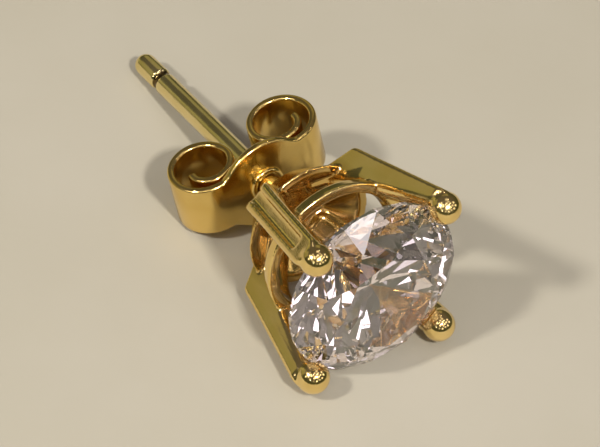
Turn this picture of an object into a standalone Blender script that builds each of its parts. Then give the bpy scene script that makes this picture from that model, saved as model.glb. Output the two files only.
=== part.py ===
"""A four-claw solitaire stud earring with its butterfly back on the post.

Everything is modelled on the Z axis, as on a jeweller's drawing: the stone's table faces +Z, the post
points down to -Z, and z = 0 is the plane of the claw balls' centres. An empty then lays the whole
earring down on a flat surface as it would lie by itself, with the stone facing -Y and the post running
back along +Y.
"""

import math

import bmesh
import bpy
from mathutils import Matrix, Vector

MM = 0.001

# Stone, a standard round brilliant
STONE_RADIUS = 3.25 * MM
TABLE_SHARE = 0.57
CROWN_ANGLE = math.radians(34.5)
STAR_ANGLE = math.radians(22.0)
STAR_SHARE = 0.5
PAVILION_ANGLE = math.radians(40.8)
LOWER_HALF_SHARE = 0.78
GIRDLE_HALF = 0.10 * MM
GIRDLE_SIDES = 64
CULET_RADIUS = 0.06 * MM
GIRDLE_DEPTH = 0.40 * MM

# Claws
CLAW_COUNT = 4
FIRST_CLAW = math.radians(45.0)
BALL_RADIUS = 0.57 * MM
BALL_OVER_STONE = 0.23 * MM
CLAW_WIDTH = 1.12 * MM
CLAW_TIP_THICKNESS = 0.85 * MM
CLAW_BEND_THICKNESS = 1.25 * MM
CLAW_BEND_DEPTH = 3.40 * MM
CLAW_FOOT_DEPTH = 4.78 * MM
CLAW_PROUD = 0.56 * MM
CLAW_EDGE = 0.12 * MM
ROOT_INSET = 0.05 * MM
GROOVE_WIDTH = 0.60 * MM
GROOVE_DEPTH = 0.15 * MM
GROOVE_FROM_TIP = 0.75 * MM
SEAT_CLEARANCE = 0.04 * MM

# Basket
SHOULDER_RADIUS = 3.09 * MM
SHOULDER_DEPTH = 4.30 * MM
BASE_RADIUS = 1.45 * MM
BASE_DEPTH = 5.45 * MM
BASE_THICKNESS = 0.42 * MM
CUP_RIM_RADIUS = 2.40 * MM
CUP_RIM_DEPTH = 4.20 * MM
CUP_WALL = 0.36 * MM
GALLERY_DEPTH = 2.75 * MM
GALLERY_HEIGHT = 0.50 * MM
GALLERY_WALL = 0.42 * MM
GALLERY_INSET = 0.80 * MM

# Post
POST_RADIUS = 0.40 * MM
POST_LENGTH = 9.65 * MM
POST_COLLAR_RADIUS = 0.68 * MM
POST_COLLAR_HEIGHT = 0.22 * MM
NOTCH_FROM_TIP = 1.50 * MM
NOTCH_WIDTH = 0.34 * MM
NOTCH_DEPTH = 0.10 * MM

# Butterfly back
BACK_GAP = 1.40 * MM
BACK_TURN = math.radians(13.0)
STRIP = 0.26 * MM
PLATE_RADIUS = 1.75 * MM
LOBE_WIDTH = 2.10 * MM
LOBE_RADIUS = 1.28 * MM
GRIP_RADIUS = 1.18 * MM
LOBE_END_RADIUS = 0.60 * MM
LOBE_TURNS = 1.25
RUNNING_CLEARANCE = 0.03 * MM
RIM_WIDTH = 0.22 * MM
RIM_HEIGHT = 0.14 * MM

# Weights of the gold alloy and the stone in kg per cubic metre, for the resting pose
GOLD_DENSITY = 13000.0
STONE_DENSITY = 5700.0

# How finely round forms are faceted
TURNED_SIDES = 48
BALL_SEGMENTS = 20
BALL_RINGS = 12
ARC_STEP = math.radians(12.0)
OVERSHOOT = 0.5 * MM
MERGE = 1e-6

POST_TIP_DEPTH = BASE_DEPTH + POST_LENGTH
BALL_CENTRE = STONE_RADIUS - BALL_OVER_STONE + BALL_RADIUS
CLAW_OUTER = BALL_CENTRE + CLAW_PROUD
PLATE_DEPTH = BASE_DEPTH + BACK_GAP
LOBE_OFFSET = GRIP_RADIUS + POST_RADIUS + RUNNING_CLEARANCE


def clear_scene():
    for obj in list(bpy.data.objects):
        bpy.data.objects.remove(obj, do_unlink=True)


def new_collection(name):
    made = bpy.data.collections.new(name)
    bpy.context.scene.collection.children.link(made)
    return made


def new_material(name, colour, metallic, roughness):
    material = bpy.data.materials.new(name)
    material.use_nodes = True
    shader = material.node_tree.nodes["Principled BSDF"]
    shader.inputs["Base Color"].default_value = (*colour, 1.0)
    shader.inputs["Metallic"].default_value = metallic
    shader.inputs["Roughness"].default_value = roughness
    return material


def new_object(name, mesh, collection):
    obj = bpy.data.objects.new(name, mesh)
    collection.objects.link(obj)
    return obj


def object_from_bmesh(name, bm, collection):
    mesh = bpy.data.meshes.new(name)
    bm.to_mesh(mesh)
    bm.free()
    return new_object(name, mesh, collection)


def make_helper(obj):
    obj.hide_render = True
    obj.display_type = "WIRE"
    return obj


def turned(name, profile, collection, closed=False):
    """A profile of (radius, z) points, turned about the Z axis."""
    bm = bmesh.new()
    points = [bm.verts.new((radius, 0.0, z)) for radius, z in profile]
    for first, second in zip(points, points[1:]):
        bm.edges.new((first, second))
    if closed:
        bm.edges.new((points[-1], points[0]))
    obj = object_from_bmesh(name, bm, collection)
    screw = obj.modifiers.new("Turn", "SCREW")
    screw.axis = "Z"
    screw.angle = math.tau
    screw.steps = TURNED_SIDES
    screw.render_steps = TURNED_SIDES
    screw.use_merge_vertices = True
    screw.merge_threshold = MERGE
    return obj


def boolean(obj, other, operation):
    cut = obj.modifiers.new(other.name, "BOOLEAN")
    cut.operation = operation
    cut.solver = "EXACT"
    cut.object = other


def shade(obj):
    """Smooth across gentle angles, sharp at edges."""
    obj.data.shade_smooth()
    obj.data.set_sharp_from_angle(angle=math.radians(30.0))


def arc(centre, radius, start, end):
    """Points of an arc about centre, from angle start to angle end, both ends included."""
    steps = max(2, math.ceil(abs(end - start) / ARC_STEP))
    angles = [start + (end - start) * i / steps for i in range(steps + 1)]
    return [(centre[0] + radius * math.cos(a), centre[1] + radius * math.sin(a)) for a in angles]


class Brilliant:
    """The heights and radii of the stone's facets, measured from its girdle plane."""

    def __init__(self):
        eighth = math.cos(math.radians(22.5))
        self.table_radius = TABLE_SHARE * STONE_RADIUS
        self.table = GIRDLE_HALF + (STONE_RADIUS - self.table_radius) * math.tan(CROWN_ANGLE)
        edge = self.table_radius * eighth
        self.star_radius = edge + STAR_SHARE * (STONE_RADIUS - edge)
        self.star = self.table - (self.star_radius - edge) * math.tan(STAR_ANGLE)
        self.half_radius = (1.0 - LOWER_HALF_SHARE) * STONE_RADIUS
        fall = (STONE_RADIUS - self.half_radius * eighth) * math.tan(PAVILION_ANGLE)
        self.half = -GIRDLE_HALF - fall
        self.culet = -GIRDLE_HALF - (STONE_RADIUS - CULET_RADIUS) * math.tan(PAVILION_ANGLE)


def cut_plane(bm, point, normal):
    """Takes off all that lies outside a plane and closes the flat that it leaves."""
    cut = bmesh.ops.bisect_plane(
        bm,
        geom=bm.verts[:] + bm.edges[:] + bm.faces[:],
        dist=MERGE,
        plane_co=point,
        plane_no=normal,
        clear_outer=True,
    )
    edges = [item for item in cut["geom_cut"] if isinstance(item, bmesh.types.BMEdge)]
    rim = [edge for edge in edges if edge.is_boundary]
    if rim:
        bmesh.ops.contextual_create(bm, geom=rim)


def cut_facets(bm, count, first, radius, height, slope, side):
    """A ring of facets at one slope from the girdle plane, through (radius, height) at its middle."""
    for i in range(count):
        turn = first + math.tau * i / count
        out = Vector((math.cos(turn), math.sin(turn), 0.0))
        normal = out * math.sin(slope) + Vector((0.0, 0.0, side * math.cos(slope)))
        cut_plane(bm, out * radius + Vector((0.0, 0.0, height)), normal)


def slope_between(far, high, near, low):
    return math.atan2(abs(high - low), near - far)


def make_stone(collection):
    """The stone, cut facet by facet from a round blank."""
    cut = Brilliant()
    sixteenth = math.radians(11.25)
    bm = bmesh.new()
    bmesh.ops.create_cone(
        bm,
        cap_ends=True,
        segments=GIRDLE_SIDES,
        radius1=STONE_RADIUS,
        radius2=STONE_RADIUS,
        depth=2.0 * (cut.table - cut.culet),
    )
    cut_plane(bm, (0.0, 0.0, cut.table), (0.0, 0.0, 1.0))
    cut_plane(bm, (0.0, 0.0, cut.culet), (0.0, 0.0, -1.0))
    cut_facets(bm, 8, 0.0, STONE_RADIUS, GIRDLE_HALF, CROWN_ANGLE, 1.0)
    edge = cut.table_radius * math.cos(2.0 * sixteenth)
    cut_facets(bm, 8, 2.0 * sixteenth, edge, cut.table, STAR_ANGLE, 1.0)
    chord = STONE_RADIUS * math.cos(sixteenth)
    star = cut.star_radius * math.cos(sixteenth)
    upper = slope_between(star, cut.star, chord, GIRDLE_HALF)
    cut_facets(bm, 16, sixteenth, chord, GIRDLE_HALF, upper, 1.0)
    cut_facets(bm, 8, 0.0, STONE_RADIUS, -GIRDLE_HALF, PAVILION_ANGLE, -1.0)
    half = cut.half_radius * math.cos(sixteenth)
    lower = slope_between(half, cut.half, chord, -GIRDLE_HALF)
    cut_facets(bm, 16, sixteenth, chord, -GIRDLE_HALF, lower, -1.0)
    bmesh.ops.translate(bm, verts=bm.verts, vec=(0.0, 0.0, -GIRDLE_DEPTH))
    return object_from_bmesh("stone", bm, collection)


def make_seat_cutter(collection):
    """The room that the stone takes, with its clearance, turned round."""
    cut = Brilliant()
    gap = SEAT_CLEARANCE
    profile = [
        (0.0, cut.table + gap),
        (cut.table_radius + gap, cut.table + gap),
        (cut.star_radius + gap, cut.star + gap),
        (STONE_RADIUS + gap, GIRDLE_HALF + gap),
        (STONE_RADIUS + gap, -GIRDLE_HALF - gap),
        (cut.half_radius + gap, cut.half - gap),
        (0.0, cut.culet - gap),
    ]
    lowered = [(radius, z - GIRDLE_DEPTH) for radius, z in profile]
    return make_helper(turned("seat_cutter", lowered, collection))


def cup_radius(depth):
    """The cup's outside radius at a depth between its rim and its base."""
    share = (depth - CUP_RIM_DEPTH) / (BASE_DEPTH - CUP_RIM_DEPTH)
    return CUP_RIM_RADIUS + (BASE_RADIUS - CUP_RIM_RADIUS) * share


def claw_outer_radius(depth):
    """The radius of a claw's outer face at a depth between its tip and its shoulder."""
    return CLAW_OUTER + (SHOULDER_RADIUS - CLAW_OUTER) * depth / SHOULDER_DEPTH


def claw_outline():
    """The claw seen from its side, as (radius, z): from its foot in the cup up the outside and back down."""
    floor = BASE_DEPTH - BASE_THICKNESS + ROOT_INSET
    return [
        (0.5 * BASE_RADIUS, -floor),
        (BASE_RADIUS, -floor),
        (cup_radius(CLAW_FOOT_DEPTH) - ROOT_INSET, -CLAW_FOOT_DEPTH),
        (SHOULDER_RADIUS, -SHOULDER_DEPTH),
        (CLAW_OUTER, 0.0),
        (CLAW_OUTER - CLAW_TIP_THICKNESS, 0.0),
        (claw_outer_radius(CLAW_BEND_DEPTH) - CLAW_BEND_THICKNESS, -CLAW_BEND_DEPTH),
    ]


def make_claw(name, turn, collection):
    """One claw: its side outline given a width and rounded edges, with the groove and the ball."""
    bm = bmesh.new()
    outline = [bm.verts.new((radius, -0.5 * CLAW_WIDTH, z)) for radius, z in claw_outline()]
    face = bm.faces.new(outline)
    raised = bmesh.ops.extrude_face_region(bm, geom=[face])
    moved = [item for item in raised["geom"] if isinstance(item, bmesh.types.BMVert)]
    bmesh.ops.translate(bm, verts=moved, vec=(0.0, CLAW_WIDTH, 0.0))
    bmesh.ops.recalc_face_normals(bm, faces=bm.faces)
    claw = object_from_bmesh(name, bm, collection)
    bevel = claw.modifiers.new("Edges", "BEVEL")
    bevel.width = CLAW_EDGE
    bevel.segments = 3
    bevel.limit_method = "ANGLE"
    bevel.angle_limit = math.radians(50.0)
    boolean(claw, make_groove(name + "_groove", collection), "DIFFERENCE")
    boolean(claw, make_ball(name + "_ball", collection), "UNION")
    claw.rotation_euler = (0.0, 0.0, turn)
    for part in [item.object for item in claw.modifiers if item.type == "BOOLEAN"]:
        part.parent = claw
    return make_helper(claw)


def make_groove(name, collection):
    """A round-bottomed channel down the outside of a claw, from near its tip to past its shoulder."""
    half = 0.5 * GROOVE_WIDTH
    radius = (half * half + GROOVE_DEPTH * GROOVE_DEPTH) / (2.0 * GROOVE_DEPTH)
    lift = radius - GROOVE_DEPTH
    top = Vector((CLAW_OUTER, 0.0, 0.0))
    low = Vector((SHOULDER_RADIUS, 0.0, -SHOULDER_DEPTH))
    along = (low - top).normalized()
    out = Vector((-along.z, 0.0, along.x))
    start = top + along * GROOVE_FROM_TIP + out * lift
    end = low + along * OVERSHOOT + out * lift
    bm = bmesh.new()
    bmesh.ops.create_cone(
        bm, cap_ends=True, segments=TURNED_SIDES, radius1=radius, radius2=radius, depth=(end - start).length
    )
    aim = along.to_track_quat("Z", "Y").to_matrix().to_4x4()
    bmesh.ops.transform(bm, verts=bm.verts, matrix=Matrix.Translation((start + end) / 2.0) @ aim)
    return make_helper(object_from_bmesh(name, bm, collection))


def make_ball(name, collection):
    bm = bmesh.new()
    bmesh.ops.create_uvsphere(bm, u_segments=BALL_SEGMENTS, v_segments=BALL_RINGS, radius=BALL_RADIUS)
    bmesh.ops.translate(bm, verts=bm.verts, vec=(BALL_CENTRE, 0.0, 0.0))
    return make_helper(object_from_bmesh(name, bm, collection))


def cup_and_post_profile():
    """From the middle of the cup's floor up its wall, down its outside and along the post to the tip."""
    inside = BASE_DEPTH - BASE_THICKNESS
    notch = POST_TIP_DEPTH - NOTCH_FROM_TIP
    neck = POST_RADIUS - NOTCH_DEPTH
    collar = BASE_DEPTH + POST_COLLAR_HEIGHT
    tip_centre = (0.0, -(POST_TIP_DEPTH - POST_RADIUS))
    return [
        (0.0, -inside),
        (BASE_RADIUS - BASE_THICKNESS, -inside),
        (CUP_RIM_RADIUS - CUP_WALL, -CUP_RIM_DEPTH),
        (CUP_RIM_RADIUS, -CUP_RIM_DEPTH),
        (BASE_RADIUS, -BASE_DEPTH),
        (POST_COLLAR_RADIUS, -BASE_DEPTH),
        (POST_RADIUS, -collar),
        (POST_RADIUS, -(notch - 0.5 * NOTCH_WIDTH)),
        (neck, -(notch - 0.25 * NOTCH_WIDTH)),
        (neck, -(notch + 0.25 * NOTCH_WIDTH)),
        (POST_RADIUS, -(notch + 0.5 * NOTCH_WIDTH)),
        *arc(tip_centre, POST_RADIUS, 0.0, -math.pi / 2.0)[:-1],
        (0.0, -POST_TIP_DEPTH),
    ]


def make_gallery(collection):
    """The ring that ties the claws together at half their height."""
    top = GALLERY_DEPTH - 0.5 * GALLERY_HEIGHT
    low = GALLERY_DEPTH + 0.5 * GALLERY_HEIGHT
    outer_top = claw_outer_radius(top) - GALLERY_INSET
    outer_low = claw_outer_radius(low) - GALLERY_INSET
    profile = [
        (outer_top, -top),
        (outer_low, -low),
        (outer_low - GALLERY_WALL, -low),
        (outer_top - GALLERY_WALL, -top),
    ]
    return make_helper(turned("gallery", profile, collection, closed=True))


def make_setting(collection, helpers):
    """Claws, gallery, cup and post, soldered into one piece, with the seat cut for the stone."""
    setting = turned("setting", cup_and_post_profile(), collection)
    boolean(setting, make_gallery(helpers), "UNION")
    for i in range(CLAW_COUNT):
        turn = FIRST_CLAW + math.tau * i / CLAW_COUNT
        boolean(setting, make_claw(f"claw_{i + 1}", turn, helpers), "UNION")
    boolean(setting, make_seat_cutter(helpers), "DIFFERENCE")
    return setting


def lobe_radius(turn):
    """The outside radius of a curled lobe: nearly round to the post, then drawn in to its free end."""
    grip = 1.5 * math.pi
    end = math.tau * LOBE_TURNS
    if turn <= grip:
        return LOBE_RADIUS + (GRIP_RADIUS - LOBE_RADIUS) * turn / grip
    share = (turn - grip) / (end - grip)
    return GRIP_RADIUS + (LOBE_END_RADIUS - GRIP_RADIUS) * share


def strip_line():
    """Half of the bent strip's outer face as (x, z, distance from the post): flat, then curled."""
    line = []
    flat_steps = 10
    for i in range(flat_steps):
        x = LOBE_OFFSET * i / flat_steps
        line.append((x, 0.0, x))
    end = math.tau * LOBE_TURNS
    steps = math.ceil(end / ARC_STEP)
    for i in range(steps + 1):
        turn = end * i / steps
        radius = lobe_radius(turn)
        x = LOBE_OFFSET + radius * math.sin(turn)
        z = radius * math.cos(turn) - LOBE_RADIUS
        line.append((x, z, LOBE_OFFSET + LOBE_RADIUS * turn))
    return line


def strip_half_width(distance):
    """The blank is a round plate with two straight arms."""
    arm = 0.5 * LOBE_WIDTH
    return math.sqrt(max(PLATE_RADIUS * PLATE_RADIUS - distance * distance, arm * arm))


def make_butterfly_back(collection, helpers):
    """One strip with a round plate in its middle, both arms curled back to pinch the post."""
    half = strip_line()
    line = [(-x, z, s) for x, z, s in reversed(half[1:])] + half
    bm = bmesh.new()
    rows = []
    for x, z, distance in line:
        reach = strip_half_width(distance)
        rows.append([bm.verts.new((x, y * reach, z)) for y in (-1.0, 1.0)])
    for first, second in zip(rows, rows[1:]):
        bm.faces.new((first[0], second[0], second[1], first[1]))
    back = object_from_bmesh("butterfly_back", bm, collection)
    back.location = (0.0, 0.0, -PLATE_DEPTH)
    back.rotation_euler = (0.0, 0.0, BACK_TURN)
    wall = back.modifiers.new("Strip", "SOLIDIFY")
    wall.thickness = STRIP
    wall.offset = -1.0
    rim = make_hole_rim(helpers)
    rim.parent = back
    boolean(back, rim, "UNION")
    hole = make_post_hole(helpers)
    hole.parent = back
    boolean(back, hole, "DIFFERENCE")
    return back


def make_hole_rim(collection):
    """A low raised ring about the post's hole, on the plate's front."""
    bore = POST_RADIUS + RUNNING_CLEARANCE
    profile = [
        (0.0, RIM_HEIGHT),
        (bore + 0.5 * RIM_WIDTH, RIM_HEIGHT),
        (bore + RIM_WIDTH, 0.0),
        (bore + RIM_WIDTH, -0.5 * STRIP),
        (0.0, -0.5 * STRIP),
    ]
    return make_helper(turned("hole_rim", profile, collection))


def make_post_hole(collection):
    bore = POST_RADIUS + RUNNING_CLEARANCE
    profile = [
        (0.0, OVERSHOOT),
        (bore, OVERSHOOT),
        (bore, -STRIP - OVERSHOOT),
        (0.0, -STRIP - OVERSHOOT),
    ]
    return make_helper(turned("post_hole", profile, collection))


def corners(objects):
    """Every corner of the finished pieces, in the world."""
    bpy.context.view_layer.update()
    graph = bpy.context.evaluated_depsgraph_get()
    found = []
    for obj in objects:
        evaluated = obj.evaluated_get(graph)
        found += [evaluated.matrix_world @ vertex.co for vertex in evaluated.data.vertices]
    return found


def balance_depth(densities):
    """How far behind the world's origin the pieces balance, from their volumes and densities."""
    bpy.context.view_layer.update()
    graph = bpy.context.evaluated_depsgraph_get()
    weight = 0.0
    moment = 0.0
    for obj, density in densities:
        evaluated = obj.evaluated_get(graph)
        evaluated.data.calc_loop_triangles()
        places = [evaluated.matrix_world @ vertex.co for vertex in evaluated.data.vertices]
        for triangle in evaluated.data.loop_triangles:
            first, second, third = (places[i] for i in triangle.vertices)
            share = density * first.dot(second.cross(third)) / 6.0
            weight += share
            moment += share * (first.y + second.y + third.y) / 4.0
    return moment / weight


def resting_tilt(points, balance):
    """The turn about X that lays the outline's lower side down flat under the balance point.

    points are corners with the stone facing -Y. The lower side is walked back from its lowest corner,
    always to the corner that a straight edge from below would meet next, until a span carries the balance.
    """
    corner = min(points, key=lambda p: (p.z, p.y))
    while True:
        behind = [p for p in points if p.y > corner.y + MERGE]
        after = min(behind, key=lambda p: (p.z - corner.z) / (p.y - corner.y))
        rise = (after.z - corner.z) / (after.y - corner.y)
        if after.y + after.z * rise >= balance:
            return -math.atan(rise)
        corner = after


def lay_down(objects, densities, helpers):
    """Hangs pieces and helpers on one empty, and turns it so that the earring lies as it would by itself."""
    rest = bpy.data.objects.new("rest_pose", None)
    bpy.context.scene.collection.objects.link(rest)
    for obj in objects + [helper for helper in helpers.objects if helper.parent is None]:
        obj.parent = rest
    rest.rotation_euler = (math.radians(90.0), 0.0, 0.0)
    tilt = resting_tilt(corners(objects), balance_depth(zip(objects, densities)))
    rest.rotation_euler = (math.radians(90.0) + tilt, 0.0, 0.0)
    found = corners(objects)
    low = Vector([min(p[i] for p in found) for i in range(3)])
    high = Vector([max(p[i] for p in found) for i in range(3)])
    middle = (low + high) / 2.0
    rest.location = (-middle.x, -middle.y, -low.z)


def main():
    clear_scene()
    earring = new_collection("earring")
    helpers = new_collection("cutters")
    gold = new_material("yellow_gold", (0.83, 0.56, 0.20), 1.0, 0.16)
    sprung_gold = new_material("yellow_gold_spring", (0.80, 0.54, 0.20), 1.0, 0.20)
    crystal = new_material("clear_stone", (0.96, 0.96, 0.98), 0.0, 0.02)
    setting = make_setting(earring, helpers)
    stone = make_stone(earring)
    back = make_butterfly_back(earring, helpers)
    for obj, material in ((setting, gold), (stone, crystal), (back, sprung_gold)):
        obj.data.materials.append(material)
    shade(setting)
    shade(back)
    lay_down([setting, stone, back], [GOLD_DENSITY, STONE_DENSITY, GOLD_DENSITY], helpers)


main()
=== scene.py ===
"""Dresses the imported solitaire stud: a gold claw setting, a brilliant-cut stone and a butterfly back.

Pieces are modelled in millimetres on the Z axis, with the stone's table up and the post down, as on a
jeweller's drawing. Placing.lay then puts each mesh, in metres, where the earring lies by itself.
"""

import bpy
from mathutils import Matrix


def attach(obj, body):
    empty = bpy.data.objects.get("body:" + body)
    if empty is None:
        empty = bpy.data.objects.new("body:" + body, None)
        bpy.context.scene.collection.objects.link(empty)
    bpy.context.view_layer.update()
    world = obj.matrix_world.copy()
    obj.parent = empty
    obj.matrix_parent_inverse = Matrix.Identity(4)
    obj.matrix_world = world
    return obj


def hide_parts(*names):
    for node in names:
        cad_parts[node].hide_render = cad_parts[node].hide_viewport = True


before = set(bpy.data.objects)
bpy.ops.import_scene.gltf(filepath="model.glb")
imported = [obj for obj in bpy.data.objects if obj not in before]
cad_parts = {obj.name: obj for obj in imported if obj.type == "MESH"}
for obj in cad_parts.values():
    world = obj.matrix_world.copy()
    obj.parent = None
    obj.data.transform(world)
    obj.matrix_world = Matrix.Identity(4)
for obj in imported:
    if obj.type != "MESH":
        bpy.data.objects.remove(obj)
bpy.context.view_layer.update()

import logging
import math
from collections.abc import Callable, Iterator, Sequence
from contextlib import contextmanager
from dataclasses import dataclass
from enum import Enum

import bmesh
import bpy
from mathutils import Matrix, Vector

LOG = logging.getLogger("earring")
MM = 0.001
MERGE = 0.001
TURNED_SIDES = 96
SMOOTH_ANGLE = math.radians(40.0)
LAMP_WHITE = (1.0, 0.96, 0.90)
CARD_PINK = (1.0, 0.93, 0.96)
WALL_OLIVE = (1.0, 0.92, 0.45)
Object = bpy.types.Object
Socket = bpy.types.NodeSocket
Inputs = dict[str | int, object]
Span = tuple[float, float]
Triple = tuple[float, float, float]
Profile = Sequence[Span]
Test = Callable[[Vector, Vector], bool]


class Pick(Enum):
    """What is picked in edit mode."""

    VERTS = "VERT"
    EDGES = "EDGE"


class Fuse(Enum):
    """How two solids are put together."""

    CUT = "DIFFERENCE"
    JOIN = "UNION"


class Body(Enum):
    """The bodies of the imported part."""

    STUD = "stud"
    BACK = "back"


def deselect_all() -> None:
    """Leaves edit mode and deselects every object."""
    if bpy.context.mode != "OBJECT":
        bpy.ops.object.mode_set(mode="OBJECT")
    bpy.ops.object.select_all(action="DESELECT")


def take(obj: Object) -> None:
    """Selects one object alone and makes it active.

    Args:
        obj: the object.
    """
    deselect_all()
    obj.select_set(True)
    bpy.context.view_layer.objects.active = obj


def settle(obj: Object) -> None:
    """Puts an object's place, turn and size in its mesh."""
    take(obj)
    bpy.ops.object.transform_apply(location=True, rotation=True, scale=True)


def named(name: str, size: Triple = (1.0, 1.0, 1.0)) -> Object:
    """Names the primitive that was just added and settles it.

    Args:
        name: the piece's name, for its object and its mesh.
        size: how much it is stretched along each axis.

    Returns:
        The new object, at the origin.
    """
    obj = bpy.context.active_object
    obj.name = name
    obj.data.name = name
    obj.scale = size
    settle(obj)
    return obj


def mark_all(action: str = "SELECT") -> None:
    """Selects everything in edit mode, or nothing with DESELECT."""
    bpy.ops.mesh.select_all(action=action)


@contextmanager
def editing(obj: Object) -> Iterator[None]:
    """Opens an object in edit mode with nothing selected, and closes it again.

    Args:
        obj: the object.
    """
    take(obj)
    bpy.ops.object.mode_set(mode="EDIT")
    mark_all("DESELECT")
    yield
    bpy.ops.object.mode_set(mode="OBJECT")


def stance(item: bmesh.types.BMVert | bmesh.types.BMEdge) -> tuple[Vector, Vector]:
    """Measures a vertex or an edge.

    Args:
        item: the vertex or edge.

    Returns:
        A vertex's place and normal, or an edge's middle and direction.
    """
    if isinstance(item, bmesh.types.BMVert):
        return item.co, item.normal
    first, last = (end.co for end in item.verts)
    return (first + last) / 2.0, (last - first).normalized()


def pick(obj: Object, kind: Pick, test: Test, chosen_only: bool = False) -> None:
    """Selects, in edit mode, the elements that pass a test, and nothing else.

    Args:
        obj: the object that is open in edit mode.
        kind: vertices or edges.
        test: takes what stance gives.
        chosen_only: True looks only among what is selected already.
    """
    mesh = bmesh.from_edit_mesh(obj.data)
    items = mesh.verts if kind is Pick.VERTS else mesh.edges
    found = [item for item in items if (item.select or not chosen_only) and test(*stance(item))]
    bpy.ops.mesh.select_mode(type=kind.value)
    mark_all("DESELECT")
    for item in found:
        item.select_set(True)
    mesh.select_flush_mode()
    bmesh.update_edit_mesh(obj.data)


def near(first: float, second: float) -> bool:
    """Tells whether two lengths are the same."""
    return abs(first - second) < MERGE


def shift(offset: Triple) -> None:
    """Moves what is selected in edit mode."""
    bpy.ops.transform.translate(value=offset)


def stretch(share: Triple, about: Triple = (0.0, 0.0, 0.0)) -> None:
    """Stretches what is selected in edit mode about a point."""
    bpy.ops.transform.resize(value=share, center_override=about)


def draw_out(offset: Triple) -> None:
    """Extrudes what is selected in edit mode."""
    bpy.ops.mesh.extrude_region_move(TRANSFORM_OT_translate={"value": offset})


def bevel(width: float, steps: int) -> None:
    """Rounds the edges that are selected in edit mode."""
    bpy.ops.mesh.bevel(offset=width, segments=steps, affect="EDGES", clamp_overlap=False)


def slice_across(place: Triple, way: Triple) -> None:
    """Cuts new edges where a plane crosses the mesh that is open in edit mode."""
    mark_all()
    bpy.ops.mesh.bisect(plane_co=place, plane_no=way, threshold=MERGE)


def face_outwards() -> None:
    """Turns the faces of the mesh that is open in edit mode outwards."""
    mark_all()
    bpy.ops.mesh.normals_make_consistent(inside=False)


def apply(obj: Object, kind: str, **settings: object) -> None:
    """Adds a modifier to an object and applies it.

    Args:
        obj: the object to change.
        kind: the modifier's type.
        settings: values for the modifier's properties.
    """
    take(obj)
    modifier = obj.modifiers.new(kind.title(), kind)
    for key, value in settings.items():
        setattr(modifier, key, value)
    bpy.ops.object.modifier_apply(modifier=modifier.name)


def roll_edges(obj: Object, width: float, steps: int, sharpness: float, clamp: bool = True) -> None:
    """Rounds an object's sharp edges.

    Args:
        obj: the object to change.
        width: how wide the rounding is.
        steps: how many faces lie across it.
        sharpness: the least angle that counts as sharp, in degrees.
        clamp: True narrows the rounding where two would overlap.
    """
    angle = math.radians(sharpness)
    look = {"limit_method": "ANGLE", "angle_limit": angle, "use_clamp_overlap": clamp}
    apply(obj, "BEVEL", width=width, segments=steps, **look)


def fuse(obj: Object, tool: Object, how: Fuse) -> None:
    """Cuts a tool out of an object or joins it on, and removes the tool."""
    apply(obj, "BOOLEAN", operation=how.value, solver="EXACT", object=tool)
    bpy.data.objects.remove(tool, do_unlink=True)


def joined(parts: Sequence[Object], name: str) -> Object:
    """Makes one object of several.

    Args:
        parts: the objects, of which the first stays.
        name: the name of the whole.

    Returns:
        The one object.
    """
    deselect_all()
    for part in parts:
        part.select_set(True)
    bpy.context.view_layer.objects.active = parts[0]
    bpy.ops.object.join()
    return named(name)


def turned_copies(obj: Object, count: int, first: float) -> list[Object]:
    """Copies an object round the Z axis and removes the first one.

    Args:
        obj: what is copied, lying along +X.
        count: how many copies are made.
        first: the angle of the first copy, in radians.

    Returns:
        The copies, each with its own mesh.
    """
    copies = []
    for i in range(count):
        take(obj)
        bpy.ops.object.duplicate()
        copy = bpy.context.active_object
        copy.rotation_euler = (0.0, 0.0, first + math.tau * i / count)
        settle(copy)
        copies.append(copy)
    bpy.data.objects.remove(obj, do_unlink=True)
    return copies


def lathe(name: str, profile: Profile, sides: int = TURNED_SIDES, closed: bool = False) -> Object:
    """Draws a ring of edges along a profile, as on a lathe.

    Args:
        name: the new object's name.
        profile: (radius, z) points. An end at radius 0 is closed to a point.
        sides: how many sides the ring has.
        closed: True joins the last ring to the first.

    Returns:
        The turned solid, with its faces pointing outwards.
    """
    points = [(max(radius, MERGE), z) for radius, z in profile]
    radius, z = points[0]
    bpy.ops.mesh.primitive_circle_add(
        vertices=sides, radius=radius, fill_type="NOTHING", location=(0.0, 0.0, z)
    )
    obj = named(name)
    route = points[1:] + points[:1] if closed else points[1:]
    with editing(obj):
        mark_all()
        for next_radius, next_z in route:
            draw_out((0.0, 0.0, next_z - z))
            share = next_radius / radius
            stretch((share, share, 1.0), (0.0, 0.0, next_z))
            radius, z = next_radius, next_z
        mark_all()
        bpy.ops.mesh.remove_doubles(threshold=0.3 * MERGE)
        for end_radius, end_z in [] if closed else (points[0], points[-1]):
            if end_radius <= MERGE:
                pole = Vector((0.0, 0.0, end_z))
                pick(obj, Pick.VERTS, lambda co, _, at=pole: (co - at).length < 2.0 * MERGE)
                bpy.ops.mesh.merge(type="CENTER")
        face_outwards()
    return obj


def arc(radius: float, middle: Span, start: float, end: float, steps: int) -> Profile:
    """Points of an arc in a profile.

    Args:
        radius: the arc's radius.
        middle: its centre as (radius, z).
        start: its first angle in degrees, 0 pointing outwards and 90 up.
        end: its last angle in degrees.
        steps: how many chords it is drawn with.

    Returns:
        The (radius, z) points, both ends included.
    """
    angles = [math.radians(start + (end - start) * i / steps) for i in range(steps + 1)]
    return [(middle[0] + radius * math.cos(a), middle[1] + radius * math.sin(a)) for a in angles]


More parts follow.
